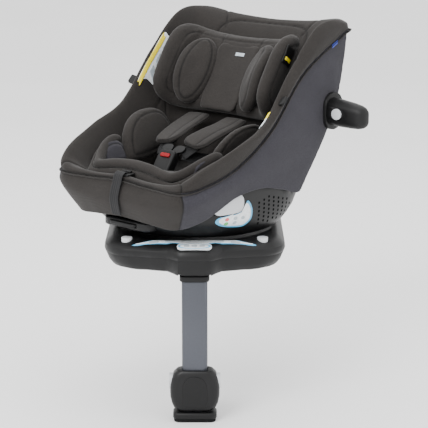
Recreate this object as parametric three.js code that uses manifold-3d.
// A convertible child car seat that turns and reclines on an ISOFIX base with a support leg.
// Units are millimetres, +Z is up, and the base's leg side faces -Y.
//
// Everything is built about the spin axis: x = 0, y = 0, with z = 0 at the underside of the base.
// The exported group is then shifted so that its origin lies at the centre of the rear grip pad,
// the flat face on which the base rests on a vehicle's seat cushion.
// The seat and its cradle are modelled facing -Y and then turned by SEAT_TURN about the spin axis.
import * as THREE from "three";
import { mergeVertices } from "three/addons/utils/BufferGeometryUtils.js";
import Module from "manifold-3d";

const wasm = await Module();
wasm.setup();

// ---------------------------------------------------------------- driving dimensions
const GAP = 0.4; // between separate pieces that rest on each other
const SEAT_TURN = 42; // degrees, from facing the leg towards -X
const PAD_CENTRE_Y = 190; // rear grip pad, behind the spin axis

const BASE_TOP = 70;
const BASE_SPLIT = 38; // parting line of the two base shells
const BASE_WALL = 3.5;
const TURNTABLE_R = 150;
const RACE_R = 168;
const DISH_FLOOR = 59.5; // the race and the disc lie in a dish in the top cover

const RECLINE_Y = -40; // recline axis, square to the seat's middle plane
const RECLINE_Z = 620;
const SHELL_R = 488; // radius of the seat shell's curved underside
const CRADLE_R = 496; // radius of the cradle floor, with the rails between the two

const LEG_Y = -222;
const LEG_PIVOT_Z = 27;
const TUBE_W = 57;
const TUBE_D = 30;
const TUBE_WALL = 2.2;
const HOUSING_TOP = -219;
const HOUSING_BOTTOM = -312;
const FOOT_TOP = -316;
const FLOOR_Z = -338;

const ISOFIX_X = 140; // half the standard 280 mm spacing of the anchorages
const ISOFIX_Z = 30;

// A point on the backrest's padding, and the padding's angle from the vertical.
const BACK = { y: 150, z: 341, tilt: 32 };
const HEADREST_TRAVEL = 130;
const COLLAR_BOTTOM = -14; // of the leg's knuckle

// ---------------------------------------------------------------- helpers
const V = (x, y, z) => new THREE.Vector3(x, y, z);
const rad = THREE.MathUtils.degToRad;

// The geometry with shared vertices merged and its faces pointing out.
function closed(geometry) {
  const bare = new THREE.BufferGeometry();
  bare.setAttribute("position", geometry.getAttribute("position"));
  if (geometry.index) bare.setIndex(geometry.index);
  const merged = mergeVertices(bare, 1e-3);
  const p = merged.getAttribute("position");
  const index = merged.index.array;
  const [a, b, c] = [V(), V(), V()];
  let volume = 0;
  for (let i = 0; i < index.length; i += 3) {
    a.fromBufferAttribute(p, index[i]);
    b.fromBufferAttribute(p, index[i + 1]);
    c.fromBufferAttribute(p, index[i + 2]);
    volume += a.dot(b.cross(c));
  }
  if (volume < 0) index.reverse();
  return merged;
}

// Triangles that fill a ring of points, wound the same way as the ring.
function fill(ring) {
  const normal = V(0, 0, 0);
  ring.forEach((p, i) => normal.add(p.clone().cross(ring[(i + 1) % ring.length])));
  normal.normalize();
  const u = V(1, 0, 0);
  if (Math.abs(normal.x) > 0.8) u.set(0, 1, 0);
  u.cross(normal).normalize();
  const v = normal.clone().cross(u);
  const flat = ring.map((p) => new THREE.Vector2(p.dot(u), p.dot(v)));
  return THREE.ShapeUtils.triangulateShape(flat, []).map(([i, j, k]) => {
    const turn = flat[j].clone().sub(flat[i]).cross(flat[k].clone().sub(flat[i]));
    return turn > 0 ? [i, j, k] : [i, k, j];
  });
}

// Triangles between the two halves of a ring that folds back on itself.
function strip(ring) {
  const n = ring.length;
  const faces = [];
  for (let j = 0; j < n / 2 - 1; j++) {
    faces.push([j, j + 1, n - 2 - j]);
    faces.push([j, n - 2 - j, n - 1 - j]);
  }
  return faces;
}

// Triangles across a ring between points at equal distances from its first point.
function rungs(ring) {
  const n = ring.length;
  const faces = [[0, 1, n - 1]];
  for (let j = 1; j < n / 2 - 1; j++) {
    faces.push([j, j + 1, n - 1 - j]);
    faces.push([j, n - 1 - j, n - j]);
  }
  faces.push([n / 2 - 1, n / 2, n / 2 + 1]);
  return faces;
}

// A closed solid through rings of equal length, with both end rings capped.
function loft(rings, cap = fill) {
  const n = rings[0].length;
  const last = (rings.length - 1) * n;
  const index = [];
  for (let k = 0; k < last; k += n)
    for (let i = 0; i < n; i++) {
      const j = (i + 1) % n;
      index.push(k + i, k + j, k + n + j, k + i, k + n + j, k + n + i);
    }
  for (const [a, b, c] of cap(rings[0])) index.push(a, c, b);
  for (const [a, b, c] of cap(rings.at(-1))) index.push(last + a, last + b, last + c);
  const geometry = new THREE.BufferGeometry().setFromPoints(rings.flat());
  return closed(geometry.setIndex(index));
}

// A closed panel between a front grid and a back grid of points.
function panel(front, back) {
  return loft(front.map((row, i) => [...row, ...back[i].slice().reverse()]), strip);
}

// Each row or closed ring moved along the surface's normal; plus is towards the side that shows.
function offset(rows, distance, isClosed = true) {
  return rows.map((row, k) =>
    row.map((p, i) => {
      const n = row.length;
      const after = isClosed ? (i + 1) % n : Math.min(i + 1, n - 1);
      const before = isClosed ? (i + n - 1) % n : Math.max(i - 1, 0);
      const along = row[after].clone().sub(row[before]);
      const above = rows[Math.min(k + 1, rows.length - 1)][i];
      const across = above.clone().sub(rows[Math.max(k - 1, 0)][i]);
      const normal = along.cross(across).normalize();
      return p.clone().addScaledVector(normal, distance);
    }),
  );
}

// A solid extruded from an outline: along x the outline lies in y,z; along y in x,z; along z in x,y.
const TURNS = {
  x: new THREE.Matrix4().makeBasis(V(0, 1, 0), V(0, 0, 1), V(1, 0, 0)),
  y: new THREE.Matrix4().makeBasis(V(1, 0, 0), V(0, 0, 1), V(0, 1, 0)),
  z: new THREE.Matrix4(),
};
function prism(outline, axis, low, high, bevel = 0) {
  const geometry = new THREE.ExtrudeGeometry(outline, {
    depth: high - low - 2 * bevel,
    bevelEnabled: bevel > 0,
    bevelThickness: bevel,
    bevelSize: bevel,
    bevelOffset: -bevel,
    bevelSegments: 1,
  });
  geometry.translate(0, 0, low + bevel);
  return closed(geometry.applyMatrix4(TURNS[axis]));
}

const P = (u, v) => new THREE.Vector2(u, v);
const polygon = (points) => new THREE.Shape(points.map(([u, v]) => P(u, v)));

function arcPoints(u, v, r, from, to, steps) {
  const points = [];
  for (let i = 0; i <= steps; i++) {
    const a = rad(from + ((to - from) * i) / steps);
    points.push(P(u + r * Math.cos(a), v + r * Math.sin(a)));
  }
  return points;
}

// A rectangle with round corners, centred on u, v.
function rounded(u, v, width, height, r, steps = 4) {
  const [w, h] = [width / 2 - r, height / 2 - r];
  return new THREE.Shape([
    ...arcPoints(u + w, v - h, r, -90, 0, steps),
    ...arcPoints(u + w, v + h, r, 0, 90, steps),
    ...arcPoints(u - w, v + h, r, 90, 180, steps),
    ...arcPoints(u - w, v - h, r, 180, 270, steps),
  ]);
}

function disc(u, v, r, steps = 24) {
  return new THREE.Shape(arcPoints(u, v, r, 0, 360, steps).slice(1));
}
function withHole(shape, hole) {
  shape.holes.push(new THREE.Path(hole.getPoints()));
  return shape;
}

function box([x0, x1], [y0, y1], [z0, z1]) {
  const geometry = new THREE.BoxGeometry(x1 - x0, y1 - y0, z1 - z0);
  return geometry.translate((x0 + x1) / 2, (y0 + y1) / 2, (z0 + z1) / 2);
}

// Booleans, on geometries.
function solid(geometry) {
  const g = closed(geometry);
  const vertProperties = g.getAttribute("position").array;
  const triVerts = new Uint32Array(g.index.array);
  return new wasm.Manifold(new wasm.Mesh({ numProp: 3, vertProperties, triVerts }));
}
function surface(manifold) {
  const mesh = manifold.getMesh();
  const geometry = new THREE.BufferGeometry();
  geometry.setAttribute("position", new THREE.BufferAttribute(mesh.vertProperties, 3));
  return geometry.setIndex(new THREE.BufferAttribute(mesh.triVerts, 1));
}
const cut = (body, ...tools) =>
  surface(tools.reduce((made, tool) => made.subtract(solid(tool)), solid(body)));
const join = (body, ...others) =>
  surface(others.reduce((made, other) => made.add(solid(other)), solid(body)));
const common = (a, b) => surface(solid(a).intersect(solid(b)));
const mirrored = (geometry) => closed(geometry.clone().scale(-1, 1, 1));

// A flat strap that follows a path; its width turns from the first direction to the second.
function ribbon(path, from, to, width, thickness, steps) {
  const curve = new THREE.CatmullRomCurve3(path.map((p) => V(...p)), false, "centripetal");
  const rings = [];
  for (let i = 0; i <= steps; i++) {
    const t = i / steps;
    const side = V(...from).lerp(V(...to), t);
    const tangent = curve.getTangent(t);
    side.addScaledVector(tangent, -side.dot(tangent)).setLength(width / 2);
    const up = tangent.cross(side).setLength(thickness / 2);
    const p = curve.getPoint(t);
    rings.push([
      p.clone().add(side).add(up),
      p.clone().sub(side).add(up),
      p.clone().sub(side).sub(up),
      p.clone().add(side).sub(up),
    ]);
  }
  return loft(rings);
}

// ---------------------------------------------------------------- materials
const look = (color, roughness, metalness = 0) =>
  new THREE.MeshStandardMaterial({ color, roughness, metalness });
const MATERIALS = {
  shell: look(0x2b2b2c, 0.55),
  black: look(0x1c1c1d, 0.6),
  grey: look(0xa9abad, 0.5),
  red: look(0xc2263a, 0.4),
  steel: look(0x9a9da1, 0.35, 0.9),
  tube: look(0x55575b, 0.35, 0.7),
  rubber: look(0x1a1a1a, 0.9),
  lens: look(0xdfe6e8, 0.2),
  fabric: look(0x4a4846, 0.95),
  side: look(0x4e4d50, 0.95),
  webbing: look(0x38383a, 0.85),
  foam: look(0x303030, 0.9),
};

const base = new THREE.Group();
const seat = new THREE.Group();
function add(group, name, geometry, material) {
  const mesh = new THREE.Mesh(geometry, MATERIALS[material]);
  mesh.name = name;
  group.add(mesh);
  return mesh;
}
function addPair(group, name, geometry, material) {
  add(group, `${name}_left`, geometry, material);
  add(group, `${name}_right`, mirrored(geometry), material);
}

// ---------------------------------------------------------------- base shells
const CORNER_STEPS = 6;

// The base swells forward round the leg's hinge: full out to one distance, and gone at the next.
const SWELL = { full: 30, none: 62 };
function swell(x, inset) {
  const t = (Math.abs(x) + inset - SWELL.full) / (SWELL.none - SWELL.full);
  return 0.5 + 0.5 * Math.cos(Math.PI * THREE.MathUtils.clamp(t, 0, 1));
}

// The base's plan at one height: a rectangle with round corners and a bowed, swollen front.
const PLAN = { corner: 70, bow: 20, bowedHalf: 96, step: 12 };
function basePlan(z, halfWidth, front, back, depth, inset) {
  const [w, f, b] = [halfWidth - inset, front + inset, back - inset];
  const r = PLAN.corner - inset;
  const bow = PLAN.bow;
  const bowed = [];
  for (let x = -PLAN.bowedHalf; x <= PLAN.bowedHalf; x += PLAN.step)
    bowed.push(P(x, f + bow * (x / (w - r)) ** 2 - depth * swell(x, inset)));
  return [
    ...arcPoints(w - r, b - r, r, 0, 90, CORNER_STEPS),
    ...arcPoints(-w + r, b - r, r, 90, 180, CORNER_STEPS),
    ...arcPoints(-w + r, f + bow + r, r, 180, 270, CORNER_STEPS),
    ...bowed,
    ...arcPoints(w - r, f + bow + r, r, 270, 360, CORNER_STEPS),
  ].map((p) => V(p.x, p.y, z));
}

// Height, half width, front and back of the base, and how far its swelling reaches forward.
const BASE_BOTTOM = 3;
const BASE_LEVELS = [
  [BASE_BOTTOM, 174, -218, 246, 35],
  [8, 185, -227, 251, 30],
  [20, 193, -232, 254, 26],
  [44, 202, -238, 256, 20],
  [54, 201, -236, 255, 19],
  [64, 192, -224, 250, 22],
  [BASE_TOP, 182, -214, 242, 20],
];
const baseBody = (inset, low, high) =>
  loft(
    BASE_LEVELS.map(([z, w, f, b, depth]) =>
      basePlan(THREE.MathUtils.clamp(z, low, high), w, f, b, depth, inset),
    ),
  );
const baseSkin = cut(
  baseBody(0, BASE_BOTTOM, BASE_TOP),
  baseBody(BASE_WALL, BASE_BOTTOM + BASE_WALL, BASE_TOP - BASE_WALL),
);

const FAR = [-400, 400];
const HUB_HOLE_R = 80; // through the dish's floor, inside the turntable ring
const armSlot = (x) => box([x - 21, x + 21], [200, 300], [8, 58]);
const BUTTON = { x: 150, y: -183, r: 12, low: 52, high: 74 };
const buttonAt = (grow, low, high) =>
  prism(disc(BUTTON.x, BUTTON.y, BUTTON.r + grow, 16), "z", low, high);

// Ears inside the lower tray carry the leg's hinge pin. The slots let the leg fold in from below.
const PIN_R = 5;
const ear = prism(rounded(LEG_Y, 20, 36, 34, 4), "x", 36.5, 41.8);
const pinHole = prism(disc(LEG_Y, LEG_PIVOT_Z, PIN_R + GAP, 16), "x", -45, 45);
const tubeSlot = box([-36, 36], [-300, 20], [-20, 6.6]);
const footSlot = box([-59, 59], [10, 150], [-20, 6.6]);

add(
  base,
  "base_lower_tray",
  cut(
    join(
      common(baseSkin, box(FAR, FAR, [0, BASE_SPLIT - GAP])),
      ear,
      mirrored(ear),
    ),
    tubeSlot,
    footSlot,
    pinHole,
    armSlot(ISOFIX_X),
    armSlot(-ISOFIX_X),
  ),
  "black",
);

// The oval window over the leg lies on the swelling's sloping front edge.
const WINDOW = { y: -239, z: 67, slope: 23 };
function windowAt(grow, low, high) {
  const plate = prism(rounded(0, 0, 76 + grow, 20 + grow, 9.9), "z", low, high);
  plate.rotateX(rad(WINDOW.slope));
  return closed(plate.translate(0, WINDOW.y, WINDOW.z));
}

const DISH_R = RACE_R + 4;
const dishWall = prism(disc(0, 0, DISH_R + 4, 48), "z", DISH_FLOOR - 4, BASE_TOP - 1);
add(
  base,
  "base_top_cover",
  cut(
    join(common(baseSkin, box(FAR, FAR, [BASE_SPLIT, 100])), dishWall),
    prism(disc(0, 0, DISH_R, 48), "z", DISH_FLOOR, 80),
    prism(disc(0, 0, HUB_HOLE_R, 32), "z", 40, 80),
    buttonAt(0.6, 40, 80),
    mirrored(buttonAt(0.6, 40, 80)),
    armSlot(ISOFIX_X),
    armSlot(-ISOFIX_X),
    windowAt(1.2, -3, 8),
  ),
  "shell",
);
add(base, "base_grip_pad", prism(rounded(0, PAD_CENTRE_Y, 300, 60, 12, 2), "z", 0, 2.6), "rubber");
add(base, "leg_window", windowAt(0, -2.5, 1), "lens");
const race = withHole(disc(0, 0, RACE_R, 48), disc(0, 0, TURNTABLE_R + 2, 48));
add(base, "turntable_race", prism(race, "z", DISH_FLOOR + GAP, 69), "steel");

// The ISOFIX release buttons stand in the top cover's front corners.
addPair(base, "isofix_button", buttonAt(0, BUTTON.low, BUTTON.high), "grey");

// ---------------------------------------------------------------- ISOFIX frame
const ARM = { width: 20, height: 26, front: -40, back: 224 };
const arm = (x) =>
  prism(rounded(x, ISOFIX_Z, ARM.width, ARM.height, 3, 1), "y", ARM.front, ARM.back);
const crossTube = prism(rounded(162, ISOFIX_Z, 18, 18, 5, 2), "x", -ISOFIX_X, ISOFIX_X);
add(base, "isofix_frame", join(arm(ISOFIX_X), arm(-ISOFIX_X), crossTube), "steel");

// A connector's casing has a slot for the vehicle's anchorage bar and a hooked claw between its cheeks.
const casing = cut(
  prism(rounded(ISOFIX_X, ISOFIX_Z, 32, 34, 6, 2), "y", ARM.back + GAP, 275),
  box([ISOFIX_X - 20, ISOFIX_X + 20], [254, 290], [ISOFIX_Z - 4.5, ISOFIX_Z + 4.5]),
  box([ISOFIX_X - 3.5, ISOFIX_X + 3.5], [228, 290], [0, 60]),
);
addPair(base, "isofix_connector", casing, "grey");
const claw = polygon([
  [231, 46], [262, 46], [271, 38], [271, 20], [265, 20], [263, 36], [231, 36],
]);
addPair(base, "isofix_claw", prism(claw, "x", ISOFIX_X - 2.5, ISOFIX_X + 2.5), "steel");

// ---------------------------------------------------------------- support leg
const tubeOutline = (inset, r) => rounded(0, LEG_Y, TUBE_W - 2 * inset, TUBE_D - 2 * inset, r, 3);
const tubeWall = (inset, wall, r) =>
  withHole(tubeOutline(inset, r), tubeOutline(inset + wall, r - wall));

const knuckle = cut(
  join(
    prism(disc(LEG_Y, LEG_PIVOT_Z, 19, 20), "x", -32, 32),
    prism(rounded(0, LEG_Y, 60, 34, 10, 3), "z", COLLAR_BOTTOM, LEG_PIVOT_Z),
    prism(rounded(0, LEG_Y, 66, 40, 12, 3), "z", COLLAR_BOTTOM, 0, 2),
  ),
  prism(disc(LEG_Y, LEG_PIVOT_Z, PIN_R + GAP, 16), "x", -40, 40),
);
add(base, "leg_knuckle", knuckle, "black");
add(base, "leg_hinge_pin", prism(disc(LEG_Y, LEG_PIVOT_Z, PIN_R, 16), "x", -41, 41), "steel");
add(
  base,
  "leg_upper_tube",
  prism(tubeWall(0, TUBE_WALL, 9), "z", HOUSING_BOTTOM + 4, COLLAR_BOTTOM - GAP),
  "tube",
);
add(
  base,
  "leg_lower_tube",
  prism(tubeWall(TUBE_WALL + 0.5, 2, 6.3), "z", FOOT_TOP + GAP, -30),
  "tube",
);

// The height adjuster's housing is barrel shaped, with a push button in each cheek.
const BARREL = [
  [HOUSING_BOTTOM, 42, 20],
  [-305, 47.5, 22.6],
  [-294, 52, 24.4],
  [-280, 54.8, 25],
  [-266, 55.5, 25.2],
  [-252, 54.8, 25],
  [-238, 52, 24.4],
  [-226, 47, 22.6],
  [HOUSING_TOP, 40, 20],
];
const barrel = loft(
  BARREL.map(([z, w, d]) =>
    rounded(0, LEG_Y, 2 * w, 2 * d, 16, 5).getPoints().map((p) => V(p.x, p.y, z)),
  ),
);
const CHEEK = { z: -246, height: 34, depth: 26 };
const cheek = (grow, low, high) =>
  prism(rounded(LEG_Y, CHEEK.z, CHEEK.depth + grow, CHEEK.height + grow, 10, 3), "x", low, high);
add(
  base,
  "leg_adjuster_housing",
  cut(
    barrel,
    prism(tubeOutline(-GAP, 9), "z", -340, -200),
    cheek(1, 40, 60),
    mirrored(cheek(1, 40, 60)),
  ),
  "shell",
);
addPair(base, "leg_button", cheek(0, 44, 57), "grey");
add(
  base,
  "foot_plate",
  prism(rounded(0, LEG_Y, 98, 50, 14, 3), "z", FLOOR_Z + 6, FOOT_TOP, 3),
  "black",
);
add(
  base,
  "foot_sole",
  prism(rounded(0, LEG_Y, 94, 47, 13, 3), "z", FLOOR_Z, FLOOR_Z + 6 - GAP, 1),
  "rubber",
);

// ---------------------------------------------------------------- turntable and cradle
const CRADLE_BOTTOM = 74;
const TURNTABLE = { hole: 90, low: 61 };
const turntable = withHole(disc(0, 0, TURNTABLE_R, 48), disc(0, 0, TURNTABLE.hole, 32));
add(seat, "turntable_disc", prism(turntable, "z", TURNTABLE.low, CRADLE_BOTTOM - GAP), "steel");

// Plan of the cradle bowl at one height, an egg with separate front and back reach.
const BOWL_STEPS = 48;
const power = (value, exponent) => Math.sign(value) * Math.abs(value) ** exponent;
const bowlPlan = (z, halfWidth, front, back, squareness) =>
  Array.from({ length: BOWL_STEPS }, (_, i) => {
    const a = (i / BOWL_STEPS) * 2 * Math.PI;
    const reach = Math.sin(a) < 0 ? front : back;
    const exponent = 2 / squareness;
    return V(halfWidth * power(Math.cos(a), exponent), reach * power(Math.sin(a), exponent), z);
  });
const BOWL_LEVELS = [
  [CRADLE_BOTTOM, 190, 190, 190, 2],
  [82, 198, 202, 196, 2.1],
  [98, 204, 214, 198, 2.4],
  [114, 206, 221, 200, 2.8],
  [136, 207, 224, 202, 3.2],
  [166, 207, 224, 200, 3.4],
  [196, 207, 222, 196, 3.4],
];
const bowl = (grow, drop = 0) =>
  loft(
    BOWL_LEVELS.map(([z, w, f, b, squareness], k) =>
      bowlPlan(k ? z : z - drop, w + grow, f + grow, b + grow, squareness),
    ),
  );

// Everything above an arc about the recline axis, up to a given half width.
const aboveArc = (r, halfWidth) =>
  prism(
    new THREE.Shape(arcPoints(RECLINE_Y, RECLINE_Z, r, -140, -40, 40)),
    "x",
    -halfWidth,
    halfWidth,
  );

// The cradle's rim drops towards the front and the back, inside the seat's skirt.
const rimCut = polygon([
  [-300, 112], [-214, 112], [-160, 150], [-118, 176], [-70, 189], [0, 190], [50, 178],
  [110, 158], [150, 146], [300, 146], [300, 260], [-300, 260],
]);
const NOSE = { halfWidth: 72, front: -236, back: -180, low: 92, high: 112 };
const nose = prism(
  rounded(0, (NOSE.front + NOSE.back) / 2, 2 * NOSE.halfWidth, NOSE.back - NOSE.front, 24, 3),
  "z",
  NOSE.low,
  NOSE.high,
  3,
);
const HANDLE = { halfWidth: 40, front: -243, back: -208, low: 99, high: 107 };
const RELEASE = { y: -108, z: 154, width: 82, height: 42 };
const releaseArea = (grow) =>
  prism(
    rounded(RELEASE.y, RELEASE.z, RELEASE.width + grow, RELEASE.height + grow, 18),
    "x",
    150,
    230,
  );
const BOWL_WALL = 4;
add(
  seat,
  "cradle_bowl",
  cut(
    join(cut(bowl(0), prism(rimCut, "x", -260, 260)), nose),
    aboveArc(CRADLE_R, 199),
    cut(bowl(-BOWL_WALL, 5), aboveArc(CRADLE_R + BOWL_WALL, 230)),
    box([-41, 41], [-300, HANDLE.back + 2], [HANDLE.low - 1, HANDLE.high + 1]),
    releaseArea(1.2),
    mirrored(releaseArea(1.2)),
  ),
  "shell",
);
addPair(seat, "spin_release", common(cut(bowl(1.5), bowl(-3.5)), releaseArea(0)), "grey");
add(
  seat,
  "recline_handle",
  prism(
    rounded(0, (HANDLE.front + HANDLE.back) / 2, 78, HANDLE.back - HANDLE.front, 8, 3),
    "z",
    HANDLE.low,
    HANDLE.high,
    1.5,
  ),
  "black",
);

// Two rails on the cradle's floor, on which the shell's curved underside slides.
const RAIL = { x: 95, halfWidth: 7, from: -106, to: -76 };
const railOutline = new THREE.Shape([
  ...arcPoints(RECLINE_Y, RECLINE_Z, CRADLE_R - GAP, RAIL.from, RAIL.to, 12),
  ...arcPoints(RECLINE_Y, RECLINE_Z, SHELL_R + GAP, RAIL.to, RAIL.from, 12),
]);
addPair(
  seat,
  "recline_rail",
  prism(railOutline, "x", RAIL.x - RAIL.halfWidth, RAIL.x + RAIL.halfWidth),
  "steel",
);

// ---------------------------------------------------------------- guide lines of the tub
// Each line has eleven stations: 0 at the front centre, round the child's left side, to 10 at the
// back centre. It is mirrored into a closed loop about the seat's middle plane.
const HEM = [
  [0, -243, 122], [82, -240, 116], [150, -224, 111], [193, -178, 132], [215, -98, 173],
  [220, -20, 181], [220, 48, 168], [219, 108, 151], [216, 128, 172], [216, 150, 210],
  [216, 175, 250],
];
const PANEL = [
  [0, -259, 163], [92, -258, 160], [184, -247, 166], [217, -202, 182], [224, -100, 206],
  [228, -5, 240], [229, 105, 280], [228, 210, 318], [212, 233, 335], [110, 238, 340], [0, 238, 340],
];
const PIPING = [
  [0, -243, 203], [93, -247, 199], [180, -249, 199], [208, -203, 208], [219, -105, 238],
  [225, 0, 306], [226, 110, 420], [225, 250, 492], [209, 290, 503], [115, 294, 500], [0, 294, 497],
];
const RIM = [
  [0, -242, 211], [91, -246, 207], [180, -248, 212], [212, -204, 240], [226, -108, 279],
  [230, -8, 321], [230, 92, 424], [228, 203, 510], [211, 282, 520], [114, 288, 509], [0, 288, 505],
];
const CREST = [
  [0, -230, 212], [90, -234, 208], [168, -238, 217], [199, -196, 246], [213, -105, 279],
  [214, -14, 322], [214, 72, 425], [213, 165, 514], [202, 248, 527], [112, 270, 515], [0, 272, 510],
];
const WALL_HIGH = [
  [0, -206, 198], [80, -208, 194], [148, -205, 198], [174, -172, 207], [189, -92, 228],
  [193, 0, 264], [192, 82, 342], [190, 165, 440], [176, 222, 486], [102, 244, 488], [0, 246, 486],
];
const WALL_LOW = [
  [0, -192, 178], [75, -190, 175], [126, -180, 175], [152, -145, 175], [163, -80, 178],
  [163, 0, 196], [161, 70, 245], [160, 132, 332], [150, 182, 402], [92, 207, 430], [0, 210, 432],
];
const PAN_EDGE = [
  [0, -150, 160], [50, -148, 158], [85, -135, 157], [102, -100, 157], [108, -50, 158],
  [108, 5, 166], [106, 55, 195], [103, 97, 252], [96, 127, 305], [58, 147, 338], [0, 150, 341],
];
const PAN_MIDDLE = [
  [0, -70, 157], [24, -68, 157], [42, -60, 156], [52, -44, 156], [56, -18, 157],
  [56, 12, 159], [54, 38, 170], [50, 60, 196], [42, 76, 218], [24, 86, 234], [0, 89, 238],
];

// The point of a guide line at a station.
function along(guides) {
  const right = guides.map((p) => V(...p));
  const left = right.slice(1, -1).reverse().map((p) => V(-p.x, p.y, p.z));
  const curve = new THREE.CatmullRomCurve3([...right, ...left], true, "catmullrom", 0.5);
  const stations = right.length + left.length;
  return (station) => curve.getPoint(((station + stations) % stations) / stations);
}
const loop = (guides, perStation) => {
  const at = along(guides);
  const count = 2 * (guides.length - 1) * perStation;
  return Array.from({ length: count }, (_, i) => at(i / perStation));
};
// The points from one station to another, at both ends and at every half station between them.
function row(guides, from, to) {
  const at = along(guides);
  const stations = [from];
  for (let s = Math.floor(from * 2 + 1) / 2; s < to; s += 0.5) stations.push(s);
  return [...stations, to].map(at);
}

// A point moved level towards the middle of the tub.
function towardsMiddle(p, distance) {
  const step = V(-p.x, 20 - p.y, 0).setLength(distance);
  return p.clone().add(step);
}

// ---------------------------------------------------------------- seat shell
const SHELL_T = 3.5;
const SHELL_PER_STATION = 2;
const arcHeight = (y) => RECLINE_Z - Math.sqrt(SHELL_R ** 2 - (y - RECLINE_Y) ** 2);
const onArc = (points) => points.map(([x, y]) => [x, y, arcHeight(y)]);
const SHELL_LEVELS = [
  onArc([
    [0, -100], [34, -98], [58, -86], [70, -62], [72, -40], [72, -10],
    [70, 20], [62, 46], [44, 62], [22, 68], [0, 70],
  ]),
  onArc([
    [0, -190], [82, -190], [136, -178], [156, -140], [158, -80], [158, -10],
    [158, 50], [154, 100], [132, 134], [75, 145], [0, 147],
  ]),
  [
    [0, -218, 176], [88, -218, 174], [158, -204, 172], [182, -160, 170], [189, -95, 170],
    [189, -15, 172], [189, 60, 182], [188, 125, 198], [174, 168, 206], [95, 180, 212],
    [0, 182, 212],
  ],
  [
    [0, -226, 184], [90, -227, 182], [164, -216, 182], [187, -168, 182], [190, -95, 194],
    [190, -12, 199], [190, 62, 211], [188, 130, 236], [176, 188, 260], [97, 202, 266],
    [0, 204, 266],
  ],
  [
    [0, -230, 189], [90, -231, 187], [168, -224, 187], [198, -176, 187], [211, -98, 198],
    [212, -10, 204], [212, 66, 216], [211, 136, 242], [196, 198, 268], [104, 214, 274],
    [0, 216, 274],
  ],
  [
    [0, -231, 193], [90, -233, 191], [169, -228, 191], [199, -180, 192], [213, -100, 210],
    [219, -2, 246], [220, 98, 292], [219, 196, 332], [203, 224, 342], [106, 230, 346],
    [0, 230, 346],
  ],
  [
    [0, -232, 197], [90, -236, 194], [170, -233, 195], [197, -189, 201], [212, -103, 224],
    [217, 4, 292], [218, 106, 400], [217, 236, 474], [202, 278, 488], [112, 284, 486],
    [0, 284, 484],
  ],
];
const shellOutside = SHELL_LEVELS.map((guides) => loop(guides, SHELL_PER_STATION));
const shellInside = offset(shellOutside, -SHELL_T);
add(seat, "seat_shell", loft([...shellOutside, ...shellInside.reverse()], rungs), "black");

// Side impact foam between the shell and the liner: rows of the shell's wing, moved inwards.
const FOAM_ROWS = [
  [0.05, 16],
  [0.4, 11],
  [0.75, 6],
];
const foamGrid = (depth) => {
  const [low, high] = SHELL_LEVELS.slice(-2).map((guides) => row(guides, 4.5, 7));
  return FOAM_ROWS.map(([share, thickness]) =>
    low.map((p, i) => {
      const q = p.clone().lerp(high[i], share);
      return q.setX(q.x - SHELL_T - 2 - depth * thickness);
    }),
  );
};
addPair(seat, "side_foam", panel(foamGrid(0), foamGrid(1)), "foam");

// ---------------------------------------------------------------- outer covers
const COVER_T = 4;
function coverPanel(from, to) {
  const front = [HEM, PANEL, PIPING].map((guides) => row(guides, from, to));
  const back = offset(front, -COVER_T, false);
  back[2] = front[2].map((p) => towardsMiddle(p, COVER_T));
  return panel(front, back);
}
const SOCKET = { y: 210, z: 325, width: 62, height: 86 };
const socketArea = (grow, low, high) =>
  prism(
    rounded(SOCKET.y, SOCKET.z, SOCKET.width + grow, SOCKET.height + grow, 30),
    "x",
    low,
    high,
  );
const CORNER_SEAM = 2.1; // station of the seam between the front and side panels
const SEAM_GAP = 0.02;
const coverSide = coverPanel(CORNER_SEAM + SEAM_GAP, 7.35);
add(seat, "cover_side_left", cut(coverSide, socketArea(1.2, 200, 250)), "side");
add(seat, "cover_side_right", mirrored(coverSide), "side");
add(seat, "cover_front", coverPanel(-CORNER_SEAM + SEAM_GAP, CORNER_SEAM - SEAM_GAP), "fabric");

// ---------------------------------------------------------------- backrest frame of reference
// Solids of the backrest are built in x (across), y (out of the padding is minus) and z (up the back),
// and then leaned back about BACK's point.
function leaned(geometry) {
  geometry.rotateX(-rad(BACK.tilt));
  return closed(geometry.translate(0, BACK.y, BACK.z));
}

// ---------------------------------------------------------------- liner over the rim and inside the tub
const LINER_T = 5;
const LINER_PER_STATION = 2;
const JOIN_LIFT = 1.5; // the liner's edge above the outer covers' edge
const lifted = PIPING.map(([x, y, z]) => [x, y, z + JOIN_LIFT]);
const linerLevels = [lifted, RIM, CREST, WALL_HIGH, WALL_LOW, PAN_EDGE, PAN_MIDDLE].map((guides) =>
  loop(guides, LINER_PER_STATION),
);
const linerBack = offset(linerLevels, -LINER_T);
linerBack[0] = linerLevels[0].map((p) => towardsMiddle(p, LINER_T));
const liner = loft([...linerLevels.slice().reverse(), ...linerBack], rungs);
const SLOT = { halfWidth: 20, low: -22, high: 22 + HEADREST_TRAVEL };
const backSlot = leaned(box([-SLOT.halfWidth, SLOT.halfWidth], [-12, 46], [SLOT.low, SLOT.high]));
add(seat, "cover_liner", cut(liner, backSlot), "fabric");

// A foam core fills the backrest; the headrest's guide runs in its T-shaped channel.
const coreOutline = polygon([
  [130, 284], [207, 281], [222, 346], [262, 450], [241, 461],
]);
const channel = leaned(box([-37, 37], [24, 44], [SLOT.low, SLOT.high]));
add(seat, "backrest_core", cut(prism(coreOutline, "x", -100, 100), backSlot, channel), "foam");

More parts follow.
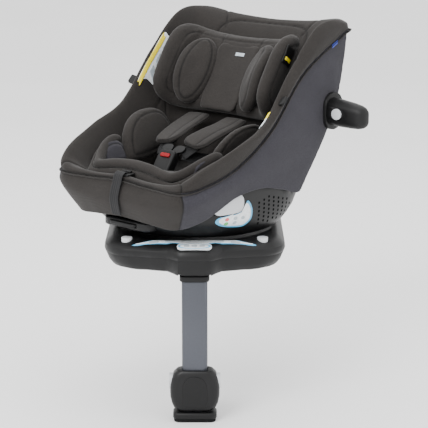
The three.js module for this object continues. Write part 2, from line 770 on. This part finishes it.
// ---------------------------------------------------------------- insert cushions
const cushionSide = polygon([
  [-190, 186], [-203, 205], [-213, 216], [-208, 234], [-190, 238], [-164, 216], [-100, 196],
  [-40, 190], [10, 194], [40, 210], [62, 240], [76, 268], [88, 262], [72, 227], [44, 198], [10, 178],
  [-40, 172], [-150, 174],
]);
add(
  seat,
  "insert_cushion",
  cut(prism(cushionSide, "x", -98, 98, 4), box([-27, 27], [-140, -94], [150, 260])),
  "fabric",
);
const wingSide = polygon([
  [-184, 196], [-183, 214], [-169, 238], [-145, 253], [-117, 258], [-104, 252],
  [-100, 230], [-100, 196], [-140, 192],
]);
addPair(seat, "insert_wing", prism(wingSide, "x", 101, 157, 6), "fabric");
const bolsterSide = polygon([
  [-97, 200], [-97, 244], [-84, 268], [-62, 286], [-34, 298], [14, 304], [44, 298], [58, 284],
  [68, 262], [54, 236], [28, 208], [-20, 196], [-60, 192],
]);
addPair(seat, "insert_bolster", prism(bolsterSide, "x", 104, 151, 7), "fabric");

// ---------------------------------------------------------------- harness
const BUCKLE = { y: -99, z: 218, tilt: -35 };
const tilted = (geometry) => {
  geometry.rotateX(rad(BUCKLE.tilt));
  return closed(geometry.translate(0, BUCKLE.y, BUCKLE.z));
};
add(
  seat,
  "buckle_housing",
  tilted(
    cut(
      prism(rounded(0, 0, 48, 60, 11, 3), "y", -12, 12, 3),
      prism(rounded(0, 15, 29, 11, 4, 2), "y", -20, -5),
    ),
  ),
  "black",
);
const redBar = prism(rounded(0, 15, 27.6, 9.6, 3.4, 2), "y", -14.5, -8.6, 1);
add(seat, "buckle_button", tilted(redBar), "red");
add(
  seat,
  "crotch_strap",
  ribbon([[0, -117, 188], [0, -121, 177], [0, -123, 164]], [1, 0, 0], [1, 0, 0], 36, 2.5, 3),
  "webbing",
);
const PAD_PATH = [[50, 79, 299], [49, 44, 288], [46, 6, 279], [43, -30, 268], [41, -58, 258]];
const STRAP_PATH = [
  [50, 80, 288.5], [49, 44, 277.5], [46, 5, 268.5], [42, -31, 257.5], [37, -59, 247.5],
  [34, -67, 245],
];
const LAP_PATH = [[33, -60, 235], [52, -48, 229], [70, -30, 224], [84, -8, 222], [92, 16, 222]];
const SHOULDER_TWIST = [[1, 0, 0], [0.95, 0.3, 0]]; // direction of the width at each end
const LAP_TWIST = [[0, 1, 0.25], [-0.4, 0.5, 0.8]];
const WEBBING_T = 2.5;
addPair(seat, "shoulder_pad", ribbon(PAD_PATH, ...SHOULDER_TWIST, 68, 13, 8), "fabric");
addPair(seat, "shoulder_strap", ribbon(STRAP_PATH, ...SHOULDER_TWIST, 36, WEBBING_T, 9), "webbing");
addPair(seat, "lap_strap", ribbon(LAP_PATH, ...LAP_TWIST, 34, WEBBING_T, 6), "webbing");

// The harness adjuster sits on the front rim, and its pull strap hangs down the front cover.
add(
  seat,
  "adjuster_bezel",
  cut(
    prism(rounded(0, -229, 44, 26, 6, 2), "z", 213, 217),
    box([-16, 16], [-238, -230], [200, 230]),
    prism(rounded(0, -222, 27, 12, 4.5, 2), "z", 200, 230),
  ),
  "black",
);
add(seat, "adjuster_button", prism(rounded(0, -222, 26, 11, 4, 2), "z", 216, 221.5, 1), "black");
const PULL_PATH = [
  [0, -232, 214], [0, -235, 219], [0, -240, 220.5], [0, -247, 215], [0, -250, 200],
  [0, -262.5, 165], [0, -254, 125],
];
add(seat, "adjuster_strap", ribbon(PULL_PATH, [1, 0, 0], [1, 0, 0], 27, 2, 12), "webbing");

// ---------------------------------------------------------------- headrest
const HEAD = { low: -64, high: 144 };
// A level section from its right half: along its back from the middle, then home along its front.
const symmetric = (half) => {
  const left = half.map(([x, y]) => [-x, y]).reverse();
  return polygon([...half, ...left.slice(1, -1)]);
};
const crossSection = symmetric([
  [0, -21], [114, -21], [146, -34], [163, -64], [167, -100], [163, -130], [153, -144],
  [138, -137], [131, -106], [118, -78], [94, -60], [50, -50], [0, -48],
]);
const sideView = prism(
  polygon([
    [-15, HEAD.low], [-95, HEAD.low], [-128, -46], [-146, -10], [-148, 45], [-138, 96],
    [-112, 130], [-74, HEAD.high], [-15, HEAD.high],
  ]),
  "x",
  -200,
  200,
);
add(
  seat,
  "headrest_cushion",
  leaned(common(prism(crossSection, "z", HEAD.low, HEAD.high, 5), sideView)),
  "fabric",
);
const innerSection = symmetric([
  [0, -49], [48, -51.5], [88, -62], [107, -83], [103, -104], [88, -106], [74, -84], [40, -68],
  [0, -64],
]);
add(seat, "headrest_insert", leaned(prism(innerSection, "z", -58, 112, 5)), "fabric");
// The headrest's frame: a plate, and a T-shaped runner that slides in the backrest's channel.
const RUNNER = [-19, 19];
const headFrame = join(
  prism(rounded(0, 40, 190, 190, 30), "y", -20.6, -14),
  box([-17, 17], [-15, 35], RUNNER),
  box([-34, 34], [27, 35], RUNNER),
);
add(seat, "headrest_frame", leaned(headFrame), "black");
const headLever = prism(rounded(0, 113, 62, 56, 10, 3), "y", -12.6, -4, 1.5);
add(seat, "headrest_lever", leaned(headLever), "black");

// ---------------------------------------------------------------- side impact pod, child's left only
const POD = { y: 206, z: 325, root: 238.4 };
add(
  seat,
  "pod_socket",
  cut(socketArea(0, 222.5, 238), prism(rounded(POD.y, POD.z, 31, 41, 8, 2), "x", 227, 250)),
  "black",
);
// Distance from the middle plane, depth and height of the pod's sections.
const POD_SECTIONS = [
  [POD.root, 50, 63], [262, 48, 62], [296, 44, 58], [314, 40, 54], [324, 34, 48], [330, 25, 39],
  [333, 14, 27],
];
const podBody = loft(
  POD_SECTIONS.map(([x, depth, height]) => {
    const droop = 0.07 * (x - POD.root);
    const outline = rounded(POD.y, POD.z - droop, depth, height, Math.min(depth, height) * 0.45, 6);
    return outline.getPoints().map((p) => V(x, p.x, p.y));
  }),
);
const POD_BUTTON = { x: 266, z: 324, r: 12.5 };
add(
  seat,
  "side_pod",
  cut(
    join(podBody, prism(rounded(POD.y, POD.z, 30, 40, 8, 2), "x", 230, 250)),
    prism(disc(POD_BUTTON.x, POD_BUTTON.z, POD_BUTTON.r + 0.6, 20), "y", 150, 192),
  ),
  "black",
);
add(
  seat,
  "pod_button",
  prism(disc(POD_BUTTON.x, POD_BUTTON.z, POD_BUTTON.r, 20), "y", 178.5, 187),
  "grey",
);

const model = new THREE.Group();
seat.rotation.z = rad(-SEAT_TURN);
model.add(base, seat);
model.position.y = -PAD_CENTRE_Y;

export default model;
